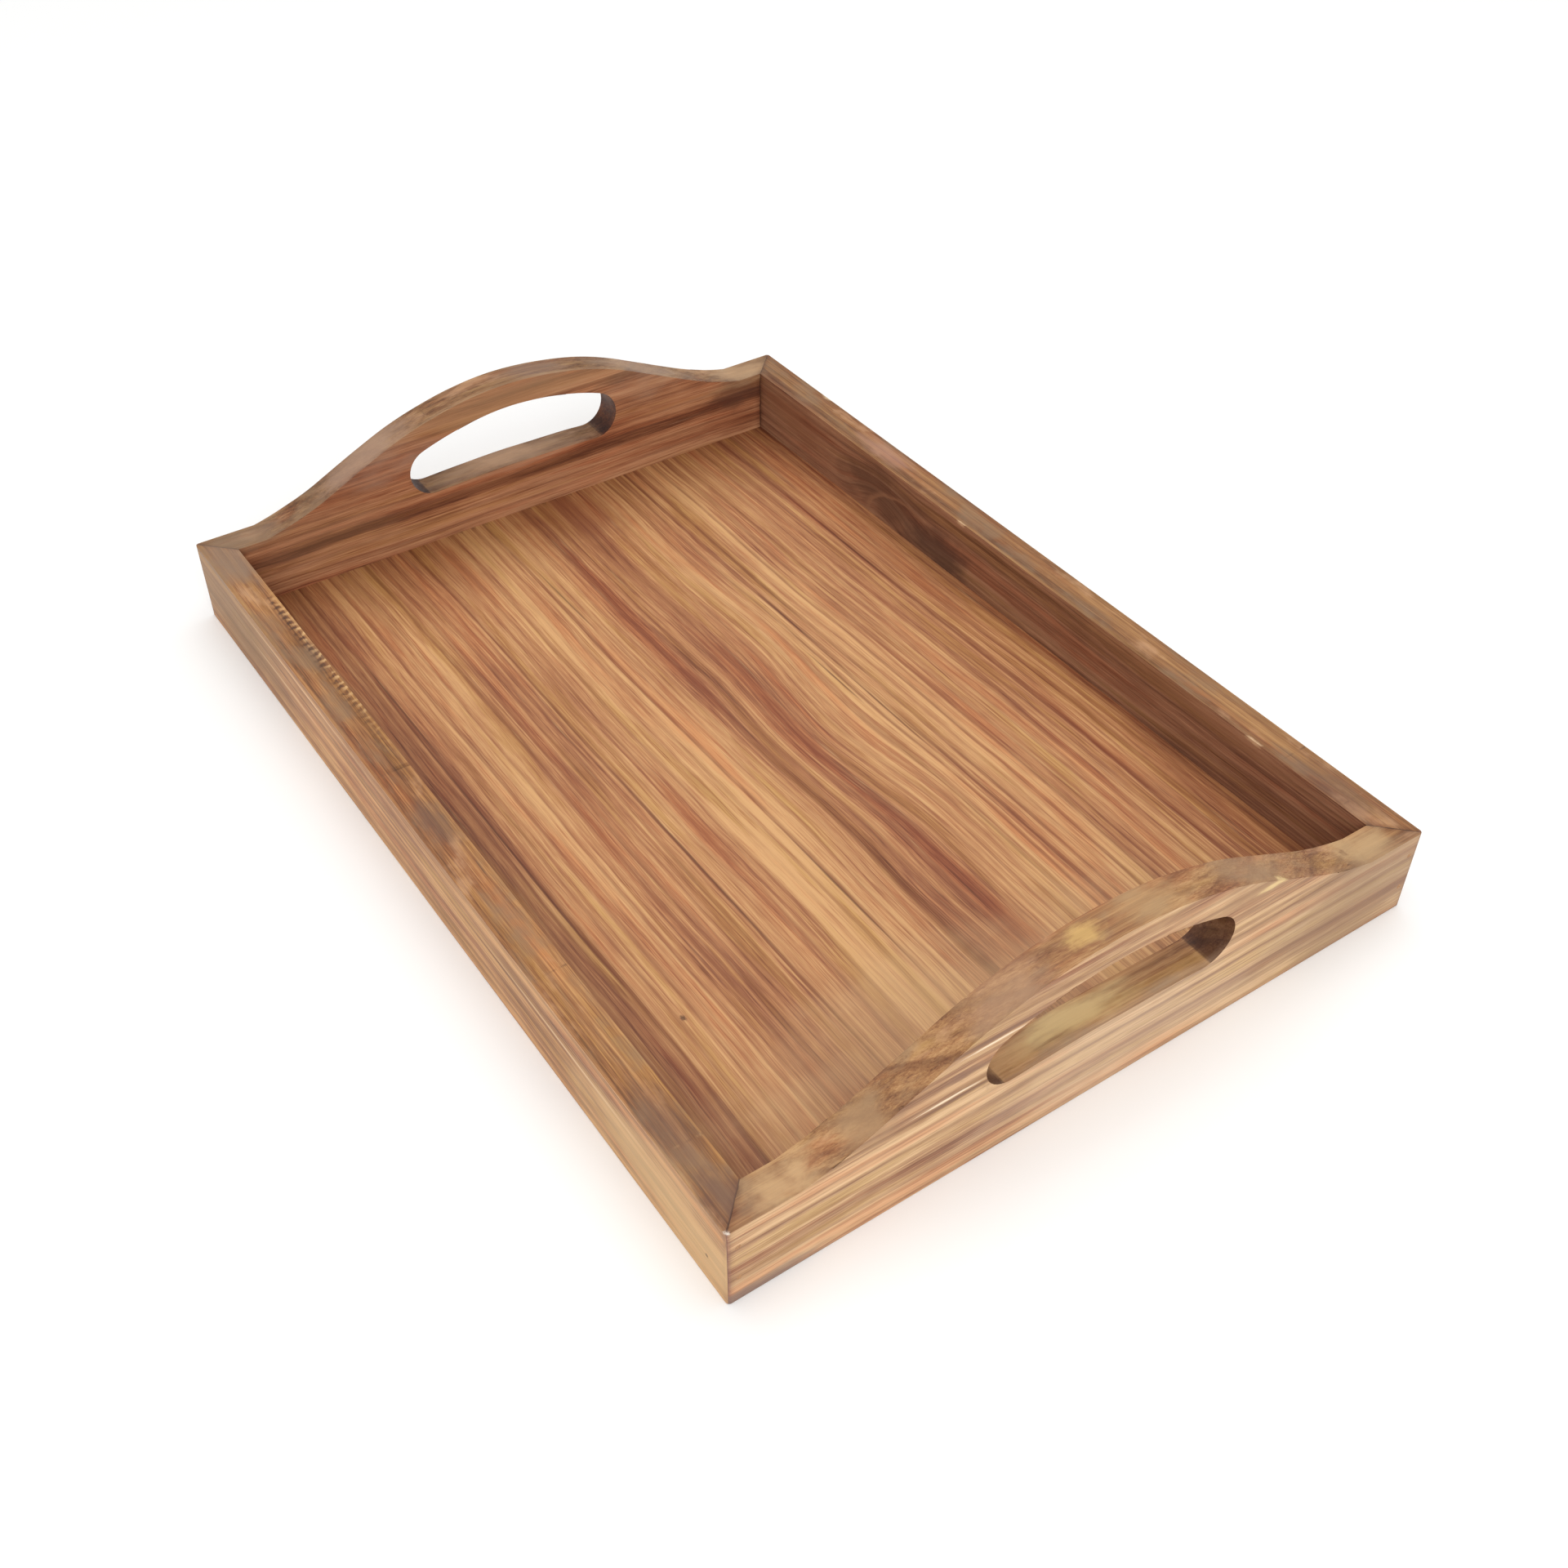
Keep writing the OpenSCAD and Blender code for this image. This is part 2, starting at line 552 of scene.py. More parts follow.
@dataclass(frozen=True)
class FiguredWood:
    """Wood whose layers of growth are listed one by one, with streaks and fibres between them."""

    name: str
    plan: TrayPlan
    figure: Figure
    palette: Palette
    grain: Grain = Grain.ALONG
    seed: float = 0.0
    roughness: float = 0.5
    patches: tuple[Patch, ...] = ()
    contrast: float = 1.0
    hairs: float = 0.2
    blush: str = "#f4d4c8"
    olive: str = "#e7e3c2"
    relief: float = 0.16 * MM
    tone_weights: tuple[float, ...] = (1.0, 0.85, 0.5, 0.55)
    relief_weights: tuple[float, ...] = (0.7, 0.8, 0.4)
    hair_width: float = 0.04

    def material(self) -> bpy.types.Material:
        """Build the finish.

        Returns:
            The finished material.
        """
        work = Surface(self.name)
        local = self.lay_out(work)
        flow = self._flow(work, local)
        across = work.part(flow, "Y")
        lines = self._lines(work, across, local)
        streaks, dashes, fibres, hairs, warmth = (
            work.noise(flow, pattern, self.seed)
            for pattern in (STREAKS, DASHES, FIBRES, HAIRLINES, WARMTH)
        )
        clouds = work.noise(local, CLOUDS, self.seed)
        hairs = work.math("ABSOLUTE", work.math("SUBTRACT", hairs, 0.5))
        hairs = work.ramp(hairs, 0.0, self.hair_width, 1.0, 0.0)
        tone = work.math("MULTIPLY_ADD", hairs, self.hairs, self._bands(work, across))
        for pattern, weight in zip((streaks, dashes, fibres, clouds), self.tone_weights):
            tone = work.vary(tone, pattern, weight * self.contrast)
        wood = self.palette
        colour = add(work.tree, "ValToRGB", {0: tone}, stops=[
            (0.0, wood.light), (0.4, wood.middle), (0.72, wood.dark), (1.0, wood.deepest),
        ])
        colour = work.tint(colour, lines, wood.late)
        colour = work.tint(colour, work.grow(dashes, GLINT), wood.pale)
        colour = work.tint(colour, work.grow(warmth, REDDISH), self.blush, "MULTIPLY")
        colour = work.tint(colour, work.grow(warmth, OLIVE), self.olive, "MULTIPLY")
        colour = self.stain_and_shade(work, colour, local, clouds)
        for patch in self.patches:
            colour = self._patch(work, colour, patch)
        height = dashes
        for pattern, weight in zip((lines, streaks, fibres), self.relief_weights):
            height = work.math("MULTIPLY_ADD", pattern, weight, height)
        height = self.emboss(work, height, local)
        gloss = work.math("MULTIPLY_ADD", dashes, 0.3, self.roughness - 0.15)
        return work.finish(colour, gloss, height, self.relief, 0.6)

    def lay_out(self, work: Surface) -> bpy.types.Node:
        """Give the millimetres along the grain, across it and through the piece."""
        raise NotImplementedError

    def stain_and_shade(self, work: Surface, colour: object, local: bpy.types.Node,
              clouds: bpy.types.Node) -> object:
        """Lay stains, dirt and painted shade over the wood's own colour. Most pieces have none."""
        return colour

    def emboss(self, work: Surface, height: object, local: bpy.types.Node) -> object:
        """Change the relief where the piece was marked. Most pieces were not."""
        return height

    def _flow(self, work: Surface, local: bpy.types.Node) -> bpy.types.Node:
        """Bend the layers with slow waves, a slight tremble and the swells.

        Args:
            work: The material under construction.
            local: Millimetres along, across and through the piece.

        Returns:
            The bent coordinates.
        """
        figure = self.figure
        shift = work.vary(0.0, work.noise(local, SWAY, self.seed), figure.sway)
        shift = work.vary(shift, work.noise(local, TREMBLE, self.seed), figure.tremble)
        for swell in figure.swells:
            _, reach = work.oval(
                local, (swell.along, swell.across, 0.0), (swell.length, swell.width, math.inf))
            shift = work.math(
                "MULTIPLY_ADD", work.ramp(reach, 0.0, 1.0, 1.0, 0.0), swell.lift, shift)
        shift = work.math("MULTIPLY_ADD", work.part(local, "Z"), figure.lean, shift)
        bend = add(work.tree, "CombineXYZ", {"Y": shift})
        return add(work.tree, "VectorMath", {0: local, 1: bend}, operation="ADD")

    def _bands(self, work: Surface, across: bpy.types.NodeSocket) -> bpy.types.Node:
        """Slow change of tone from layer to layer.

        Args:
            work: The material under construction.
            across: Millimetres across the grain, bent with the layers.

        Returns:
            The tone, from light at 0 to dark at 1.
        """
        span = self.figure.span
        return add(work.tree, "ValToRGB", {0: work.math("DIVIDE", across, span)},
                   stops=[(place / span, tone) for place, tone in self.figure.tones])

    def _lines(self, work: Surface, across: bpy.types.NodeSocket,
               local: bpy.types.Node) -> bpy.types.Node:
        """Add up the late-wood lines, and let them fade in and out along the grain.

        Args:
            work: The material under construction.
            across: Millimetres across the grain, bent with the layers.
            local: Millimetres along, across and through the piece.

        Returns:
            How strongly the lines show.
        """
        total = 0.0
        for line in self.figure.lines:
            rise = work.ramp(across, line.place - line.soft, line.place, 0.0, line.strength)
            fall = work.ramp(across, line.place, line.place + line.hard, 1.0, 0.0)
            total = work.math("MULTIPLY_ADD", rise, fall, total)
        fade = work.ramp(work.noise(local, FADING, self.seed), 0.3, 0.52, 0.45, 1.15)
        rough = work.ramp(work.noise(local, BREAKS, self.seed), 0.3, 0.55, 0.6, 1.0)
        return work.product(total, fade, rough)

    def _patch(self, work: Surface, colour: object, patch: Patch) -> bpy.types.NodeSocket:
        """Lay one ragged patch of colour.

        Args:
            work: The material under construction.
            colour: The wood's colour so far.
            patch: The patch.

        Returns:
            The socket that gives the new colour.
        """
        where, reach = work.oval(work.place, patch.centre, patch.size)
        ragged = add(work.tree, "TexNoise", {"Vector": where, "Scale": 2.2, "Detail": 4.0})
        reach = work.vary(reach, ragged, 0.25 if patch.hollow else 1.1)
        shown = work.ramp(reach, max(0.25, patch.hollow), 1.0, patch.amount, 0.0)
        if patch.hollow:
            shown = work.product(shown, work.ramp(reach, 0.95 * patch.hollow, patch.hollow))
        return work.tint(colour, shown, patch.colour)


@dataclass(frozen=True)
class StainedPine(FiguredWood):
    """Flat-sawn pine, brushed, stained unevenly and waxed.

    The eye sees soft brown layers on golden wood, inner faces darker from more stain and painted
    shade, grey and orange patches on the cut edges, dark hairlines at the mitres, and a low satin
    gloss.
    """

    inward: tuple[float, float, float] = (0.0, 0.0, 0.0)
    inside: str = "#ead8dc"
    top: str = "#d9c8b3"
    grime: str = "#8b6f54"
    rub: str = "#d0a27a"
    end_grain_and_shade: str = "#8a654a"
    joint: str = "#4b2e1f"
    corner: str = "#8f6353"
    chatter: Chatter | None = None
    chatter_depth: float = 3.0
    rounding: float = 2.2 * MM
    flat_rim: float = 0.4 * MM
    joint_shade: float = 4.0 * MM

    def lay_out(self, work: Surface) -> bpy.types.Node:
        """Give the millimetres along the grain, upwards, and in from the tray's outer face."""
        plan = self.plan
        run, depth = ("X", "Y") if self.grain is Grain.ALONG else ("Y", "X")
        half = (plan.width if self.grain is Grain.ALONG else plan.length) / 2
        outwards = work.math("ABSOLUTE", work.part(work.place, depth))
        return work.millimetres(add(work.tree, "CombineXYZ", {
            "X": work.part(work.place, run), "Y": work.part(work.place, "Z"),
            "Z": work.math("SUBTRACT", half, outwards),
        }))

    def stain_and_shade(self, work: Surface, colour: object, local: bpy.types.Node,
              clouds: bpy.types.Node) -> bpy.types.NodeSocket:
        """Tell the board's faces apart, and mark its arrises, joints and corners.

        Args:
            work: The material under construction.
            colour: The wood's colour so far.
            local: Millimetres along, up and in.
            clouds: Not used.

        Returns:
            The socket that gives the new colour.
        """
        # Faces turned into the tray are darker: partly more stain, partly painted shade of the walls.
        colour = work.tint(colour, work.facing(Vector(self.inward)), self.inside, "MULTIPLY")
        up = work.facing(UP, 0.55, 0.85)
        colour = work.tint(colour, up, self.top, "MULTIPLY")
        dirt = work.noise(local, DIRT, self.seed)
        dirty = work.product(up, work.grow(dirt, DIRTY))
        rubbed = work.product(up, work.grow(dirt, RUBBED))
        arris = add(work.tree, "Attribute", attribute_name="arris").outputs["Fac"]
        uneven = work.noise(local, RUBBING, self.seed)
        dark = work.product(arris, work.grow(uneven, ARRIS_DARK))
        pale = work.product(arris, work.grow(uneven, ARRIS_PALE))
        colour = work.tint(colour, dirty, self.grime)
        colour = work.tint(colour, rubbed, self.rub)
        # The grip holes' end walls are darker: end grain, and painted shade inside the hole.
        colour = work.tint(colour, self._end_walls(work), self.end_grain_and_shade, "MULTIPLY")
        colour = work.tint(colour, dark, self.joint)
        colour = work.tint(colour, pale, self.palette.pale)
        if self.chatter:
            marks, chips = self.chatter.masks(work, local, self.plan.board / MM)
            above = work.facing(UP, 0.2, 0.6)
            colour = work.tint(colour, work.product(chips, above, 0.55), self.palette.pale)
            # The plane's marks are drawn dark: the marks themselves, and painted shade in their dents.
            colour = work.tint(colour, work.product(marks, above, 0.8), self.joint)
        return self._joints(work, colour, local)

    def _end_walls(self, work: Surface) -> bpy.types.Node:
        """Mask of the walls at a grip hole's ends: their end grain, and painted shade inside the hole.
        """
        run = "X" if self.grain is Grain.ALONG else "Y"
        side = work.math("SIGN", work.part(work.place, run))
        to_middle = work.product(work.part(work.normal, run), side)
        return work.ramp(to_middle, -0.22, -0.36)

    def emboss(self, work: Surface, height: object, local: bpy.types.Node) -> object:
        """Press the plane's marks in.

        Args:
            work: The material under construction.
            height: The relief so far.
            local: Millimetres along, up and in.

        Returns:
            The new relief.
        """
        if not self.chatter:
            return height
        marks, _ = self.chatter.masks(work, local, self.plan.board / MM)
        return work.math("MULTIPLY_ADD", marks, -self.chatter_depth, height)

    def _joints(self, work: Surface, colour: object,
                local: bpy.types.Node) -> bpy.types.NodeSocket:
        """Draw the dark glue line along the mitres and the dark outer corners.

        Args:
            work: The material under construction.
            colour: The wood's colour so far.
            local: Millimetres along, up and in.

        Returns:
            The socket that gives the new colour.
        """
        plan = self.plan
        x, y = (work.math("ABSOLUTE", work.part(work.place, axis)) for axis in "XY")
        gap = work.math("SUBTRACT", work.math("SUBTRACT", x, y), (plan.length - plan.width) / 2)
        gap = work.math("ABSOLUTE", gap)
        wide = work.ramp(work.noise(local, GLUE, self.seed), 0.3, 0.7, 0.3 * MM, 0.9 * MM)
        line = work.ramp(work.math("DIVIDE", gap, wide), 0.3, 1.0, 0.8, 0.0)
        colour = work.tint(colour, line, self.joint)
        shade = work.ramp(gap, 0.0, self.joint_shade, 0.35, 0.0)
        colour = work.tint(colour, shade, self.corner, "MULTIPLY")
        rounded = [
            work.ramp(place, size / 2 - self.rounding, size / 2 - self.flat_rim)
            for place, size in ((x, plan.length), (y, plan.width))
        ]
        return work.tint(colour, work.product(*rounded, 0.65), self.corner)


@dataclass(frozen=True)
class RotaryVeneer(FiguredWood):
    """Rotary-cut pine veneer, brushed, stained and waxed.

    The peeling knife follows the year rings, so the eye sees long wavy lines and a few broad reddish
    bands the whole length of the tray, over golden wood with a fine fibre.
    """

    # Colour of the darkening along the boards: grime and painted shade.
    grime: str = "#9c8974"
    ragged: float = 50.0
    far_grime_and_shade: Rise = Rise(75.0, -10.0, 0.62)
    near_grime_and_shade: Rise = Rise(14.0, 0.0, 0.05)
    right_grime_and_shade: Rise = Rise(8.0, 0.0, 0.28)
    left_grime_and_shade: Rise = Rise(34.0, 4.0, 0.5)

    def lay_out(self, work: Surface) -> bpy.types.Node:
        """Give the millimetres from the far end board and from the right rail."""
        plan = self.plan
        corner = (plan.length / 2 - plan.board, plan.width / 2 - plan.board)
        return add(work.tree, "Mapping", {
            0: work.place, "Location": (corner[0] / MM, corner[1] / MM, 0.0),
            "Scale": (1 / MM, -1 / MM, 1 / MM),
        })

    def stain_and_shade(self, work: Surface, colour: object, local: bpy.types.Node,
              clouds: bpy.types.Node) -> bpy.types.NodeSocket:
        """Darken the floor along the boards, most at the far end: partly stain and dust gathered
        there, partly painted shade where the boards meet the floor.

        Args:
            work: The material under construction.
            colour: The wood's colour so far.
            local: Millimetres from the far end and from the right rail.
            clouds: Slow variation over the floor.

        Returns:
            The socket that gives the new colour.
        """
        length = (self.plan.length - 2 * self.plan.board) / MM
        width = (self.plan.width - 2 * self.plan.board) / MM
        x = work.vary(work.part(local, "X"), clouds, self.ragged)
        y = work.part(local, "Y")
        # Painted shade and gathered grime along each board, strongest at the far end.
        for inwards, rise in (
            (x, self.far_grime_and_shade), (work.math("SUBTRACT", length, x), self.near_grime_and_shade),
            (y, self.right_grime_and_shade), (work.math("SUBTRACT", width, y), self.left_grime_and_shade),
        ):
            colour = work.tint(colour, work.grow(inwards, rise), self.grime, "MULTIPLY")
        return colour


@dataclass(frozen=True)
class PlainVeneer:
    """Plain pine or birch veneer, unstained and only lightly sanded: pale, dry and faintly lined."""

    name: str
    grain: Grain
    light: str = "#d9b98c"
    dark: str = "#b98f63"
    roughness: float = 0.62
    seed: float = 0.0
    wander: float = 18.0

    def material(self) -> bpy.types.Material:
        """Build the finish.

        Returns:
            The finished material.
        """
        work = Surface(self.name)
        local = add(work.tree, "Mapping", {
            0: work.place, "Rotation": (0.0, 0.0, self.grain.value), "Scale": (1 / MM,) * 3,
        })
        bend = work.noise(local, VENEER_BEND, self.seed).outputs["Color"]
        bend = add(work.tree, "VectorMath", {0: bend, 1: (0.0, self.wander, 0.0)},
                   operation="MULTIPLY")
        bent = add(work.tree, "VectorMath", {0: local, 1: bend}, operation="ADD")
        streaks = work.noise(bent, VENEER_STREAKS, self.seed)
        fibres = work.noise(local, VENEER_FIBRES, self.seed)
        colour = add(work.tree, "ValToRGB", {0: work.vary(streaks, fibres, 0.35)},
                     stops=[(0.34, self.light), (0.68, self.dark)])
        gloss = work.math("MULTIPLY_ADD", fibres, 0.1, self.roughness - 0.05)
        return work.finish(colour, gloss, fibres, 0.08 * MM, 0.5)


@dataclass(frozen=True)
class DrawnSteel:
    """Bright drawn steel wire: grey metal with fine lines drawn along the nail."""

    name: str = "drawn_steel_wire"
    light: str = "#c9cac8"
    dark: str = "#8f9090"

    def material(self) -> bpy.types.Material:
        """Build the finish.

        Returns:
            The finished material.
        """
        work = Surface(self.name)
        drawn = work.noise(work.millimetres(work.place), DRAWING)
        colour = add(work.tree, "ValToRGB", {0: drawn}, stops=[(0.3, self.dark), (0.7, self.light)])
        gloss = work.ramp(drawn, 0.2, 0.8, 0.25, 0.42)
        return work.finish(colour, gloss, drawn, 0.02 * MM, metallic=1.0)


@dataclass(frozen=True)
class WoodFiller:
    """Tinted wood filler, sanded flush: dull, grainy and a little darker than the board."""

    name: str = "tinted_wood_filler"
    light: str = "#b98d63"
    dark: str = "#94694a"

    def material(self) -> bpy.types.Material:
        """Build the finish.

        Returns:
            The finished material.
        """
        work = Surface(self.name)
        grit = work.noise(work.millimetres(work.place), GRIT)
        colour = add(work.tree, "ValToRGB", {0: grit}, stops=[(0.35, self.dark), (0.65, self.light)])
        return work.finish(colour, work.ramp(grit, 0.2, 0.8, 0.6, 0.75), grit, 0.05 * MM)


# ---------------------------------------------------------------------------
# Shaping
# ---------------------------------------------------------------------------


def merged_copy(node: str, cuts: list[tuple[str, float]]) -> bmesh.types.BMesh:
    """Copy a node's solid, with its loose triangles merged back into whole flat faces.

    Args:
        node: The name of a node in the frame.
        cuts: Planes, each an axis and a place on it, that the faces stay parted along, so that no
            face has a hole in it.

    Returns:
        A new mesh, ready to be worked on.
    """
    flat = math.radians(0.05)
    bm = bmesh.new()
    bm.from_mesh(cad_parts[node].data)
    bmesh.ops.remove_doubles(bm, verts=bm.verts, dist=SAME_PLACE)
    for axis, place in cuts:
        normal = Vector([float(axis == name) for name in "xyz"])
        parted = bmesh.ops.bisect_plane(
            bm, geom=[*bm.verts, *bm.edges, *bm.faces], dist=ON_PLANE, plane_co=normal * place,
            plane_no=normal,
        )
        for piece in parted["geom_cut"]:
            if isinstance(piece, bmesh.types.BMEdge):
                piece.seam = True
    bmesh.ops.dissolve_limit(
        bm, angle_limit=flat, verts=bm.verts, edges=bm.edges, delimit={"SEAM"})
    for edge in bm.edges:
        edge.seam = False
    return bm


def cut_away(bm: bmesh.types.BMesh, point: Vector, normal: Vector) -> None:
    """Plane off what lies past a plane, and close the cut.

    Args:
        bm: The mesh that is cut.
        point: A point on the plane.
        normal: The side that is removed.
    """
    bmesh.ops.bisect_plane(
        bm, geom=[*bm.verts, *bm.edges, *bm.faces], dist=ON_PLANE, plane_co=point, plane_no=normal,
        clear_outer=True,
    )
    rim = [edge for edge in bm.edges if edge.is_boundary]
    bmesh.ops.holes_fill(bm, edges=rim, sides=0)


def deliver(bm: bmesh.types.BMesh, name: str, material: bpy.types.Material,
            node: str) -> None:
    """Turn a mesh into a finished piece that rides with the tray.

    Args:
        bm: The mesh, in the tray's frame.
        name: The piece's name.
        material: Its finish.
        node: The node that the piece stands for.
    """
    mesh = bpy.data.meshes.new(name)
    bmesh.ops.recalc_face_normals(bm, faces=bm.faces)
    bm.to_mesh(mesh)
    bm.free()
    mesh.materials.append(material)
    piece = bpy.data.objects.new(name, mesh)
    bpy.context.scene.collection.objects.link(piece)
    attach(piece, BODY)
    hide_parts(node)
    log.info("%s: %d faces for %s", name, len(mesh.polygons), node)


@dataclass
class Dent:
    """A small press mark or chip in an arris: its centre, its reach and how far it is pushed."""

    centre: Vector
    reach: float
    push: Vector


@dataclass
class Board:
    """One board of the frame, eased and worn on its exposed arrises.

    Strips, slivers and specks are how far apart its faces are parted, and how close together points
    of its mesh may lie before and after the arrises are eased.
    """

    node: str
    name: str
    plan: TrayPlan
    finish: StainedPine
    arris: float = 1.1 * MM
    lower_arris: float = 0.5 * MM
    mitre_arris: float = 0.12 * MM
    corner_round: float = 1.6 * MM
    corner_cuts: int = 4
    wear: float = 0.28 * MM
    wear_waves: tuple[tuple[float, float], ...] = ((0.5, 9 * MM), (0.4, 2.3 * MM))
    step: float = 0.9 * MM
    steps_round: int = 4
    sharp: float = math.radians(20)
    crease: float = math.radians(15)
    slack: float = 0.1 * MM
    nail_hole_step: float = 0.3 * MM
    strip: float = 10 * MM
    sliver: float = 0.02 * MM
    speck: float = 0.002 * MM
    dents: list[Dent] = field(default_factory=list)

    def build(self) -> None:
        """Make the board's piece."""
        bm = merged_copy(self.node, self.cuts())
        self.shape(bm)
        self.round_corners(bm)
        bmesh.ops.dissolve_degenerate(bm, dist=self.sliver, edges=bm.edges)
        self.ease(bm)
        bmesh.ops.dissolve_degenerate(bm, dist=self.speck, edges=bm.edges)
        deliver(bm, self.name, self.finish.material(), self.node)

    def cuts(self) -> list[tuple[str, float]]:
        """Planes that part the board's faces: across its length, and through its nails."""
        low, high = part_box(self.node)
        nails_low, nails_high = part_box("near_left_filler")
        radius = (nails_high.y - nails_low.y) / 2
        axis = "x" if high.x - low.x > high.y - low.y else "y"
        half = (self.plan.length if axis == "x" else self.plan.width) / 2
        count = math.ceil(2 * half / self.strip)
        strips = [(axis, half * (2 * i / count - 1)) for i in range(1, count)]
        return [*strips, ("z", nails_low.z + radius), ("z", nails_high.z - radius)]

    def shape(self, bm: bmesh.types.BMesh) -> None:
        """Leave the outline as it was cut. Boards cut by hand change it."""

    def round_corners(self, bm: bmesh.types.BMesh) -> None:
        """Sand the tray's outer upright corners round, across both boards of a mitre.

        Args:
            bm: The board's mesh.
        """
        low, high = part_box(self.node)
        radius = self.corner_round
        for end, side in product(End, Side):
            corner = Vector((end.value * self.plan.length / 2, side.value * self.plan.width / 2, 0.0))
            if not (low.x - MM < corner.x < high.x + MM and low.y - MM < corner.y < high.y + MM):
                continue
            centre = corner - Vector((end.value * radius, side.value * radius, 0.0))
            for cut in range(1, self.corner_cuts + 1):
                turn = math.radians(90 * cut / (self.corner_cuts + 1))
                normal = Vector((end.value * math.cos(turn), side.value * math.sin(turn), 0.0))
                cut_away(bm, centre + normal * radius, normal)

    def _in_groove(self, edge: bmesh.types.BMEdge) -> bool:
        """Say whether an edge belongs to the groove that holds the floor."""
        low, high = self.plan.lip - self.slack, self.plan.floor_top + self.slack
        return all(low < vert.co.z < high for vert in edge.verts)

    def _on_mitre(self, edge: bmesh.types.BMEdge) -> bool:
        """Say whether an edge lies in a mitre plane."""
        return all(abs(self.plan.mitre_offset(vert.co)) < self.sliver for vert in edge.verts)

    def exposed(self, bm: bmesh.types.BMesh) -> list[bmesh.types.BMEdge]:
        """Find the sharp edges that hands and sandpaper reach.

        Args:
            bm: The board's mesh.

        Returns:
            The arrises, without the mitres, the groove and the nail holes.
        """
        return [
            edge for edge in bm.edges
            if len(edge.link_faces) == 2 and edge.calc_face_angle() > self.sharp
            and edge.calc_length() > self.nail_hole_step
            and not self._in_groove(edge) and not self._on_mitre(edge)
        ]

    def ease(self, bm: bmesh.types.BMesh) -> None:
        """Ease the arrises unevenly, as sandpaper in the hand does, and the mitres by a hair.

        Args:
            bm: The board's mesh.
        """
        by_cuts: dict[int, list] = {}
        for edge in self.exposed(bm):
            cuts = int(edge.calc_length() / self.step)
            if cuts:
                by_cuts.setdefault(cuts, []).append(edge)
        for cuts, edges in by_cuts.items():
            bmesh.ops.subdivide_edges(bm, edges=edges, cuts=cuts)
        foot = [e for e in self.exposed(bm) if all(v.co.z < self.slack for v in e.verts)]
        self._bevel(bm, foot, self.lower_arris, 2)
        upper = [e for e in self.exposed(bm) if any(v.co.z > MM for v in e.verts)]
        rounded = self._bevel(bm, upper, self.arris, self.steps_round)
        for face in bm.faces:
            face.smooth = True
        soft = set(rounded)
        mark = bm.verts.layers.float.new("arris")
        for vert in {vert for face in rounded for vert in face.verts}:
            if all(face in soft for face in vert.link_faces):
                vert[mark] = 1.0
                bite = 0.5
                for strength, length in self.wear_waves:
                    bite += strength * noise.noise(vert.co / length)
                vert.co -= vert.normal * self.wear * max(0.0, bite)
                for dent in self.dents:
                    self.press(vert, dent)
        seam = [e for e in bm.edges if self._on_mitre(e) and not self._in_groove(e)
                and len(e.link_faces) == 2 and e.calc_face_angle() > self.sharp]
        self._bevel(bm, seam, self.mitre_arris, 1)
        for edge in bm.edges:
            if len(edge.link_faces) == 2:
                inside = [face in soft for face in edge.link_faces]
                gentle = not any(inside) and edge.calc_face_angle() < self.crease
                edge.smooth = all(inside) or gentle

    def _bevel(self, bm: bmesh.types.BMesh, edges: list, size: float, segments: int) -> list:
        """Bevel edges evenly, and return the new faces."""
        return bmesh.ops.bevel(
            bm, geom=edges, offset=size, offset_type="OFFSET", segments=segments, profile=0.5,
            affect="EDGES", clamp_overlap=True, material=-1,
        )["faces"]

    def press(self, vert: bmesh.types.BMVert, dent: Dent) -> None:
        """Push an arris in near one point, fading out at the dent's reach.

        Args:
            vert: A point of the arris.
            dent: The mark that is made.
        """
        share = (vert.co - dent.centre).length / dent.reach
        if share < 1.0:
            vert.co += dent.push * (1.0 - share * share) ** 2


@dataclass
class EndBoard(Board):
    """An end board with its arched handle and grip hole, sawn and sanded by hand."""

    wobble: float = 0.35 * MM
    wave: float = 26 * MM
    fade: float = 25 * MM
    apart: Vector = field(default_factory=lambda: Vector((7.0, 0.0, 0.0)))
    seed: float = 0.0

    def shape(self, bm: bmesh.types.BMesh) -> None:
        """Let the sawn arch and the hole's edge wander a little, and leave the mitres true.

        Args:
            bm: The board's mesh.
        """
        for vert in bm.verts:
            if vert.co.z < self.plan.floor_top + MM:
                continue
            free = (self.plan.width / 2 - self.plan.board - abs(vert.co.y)) / self.fade
            free = min(1.0, max(0.0, free))
            where = Vector((self.seed, vert.co.y, vert.co.z)) / self.wave
            vert.co.y += free * self.wobble * noise.noise(where + self.apart)
            vert.co.z += free * self.wobble * noise.noise(where)


@dataclass
class SideRail(Board):
    """A straight side rail, planed, with the marks of handling on its top arrises."""


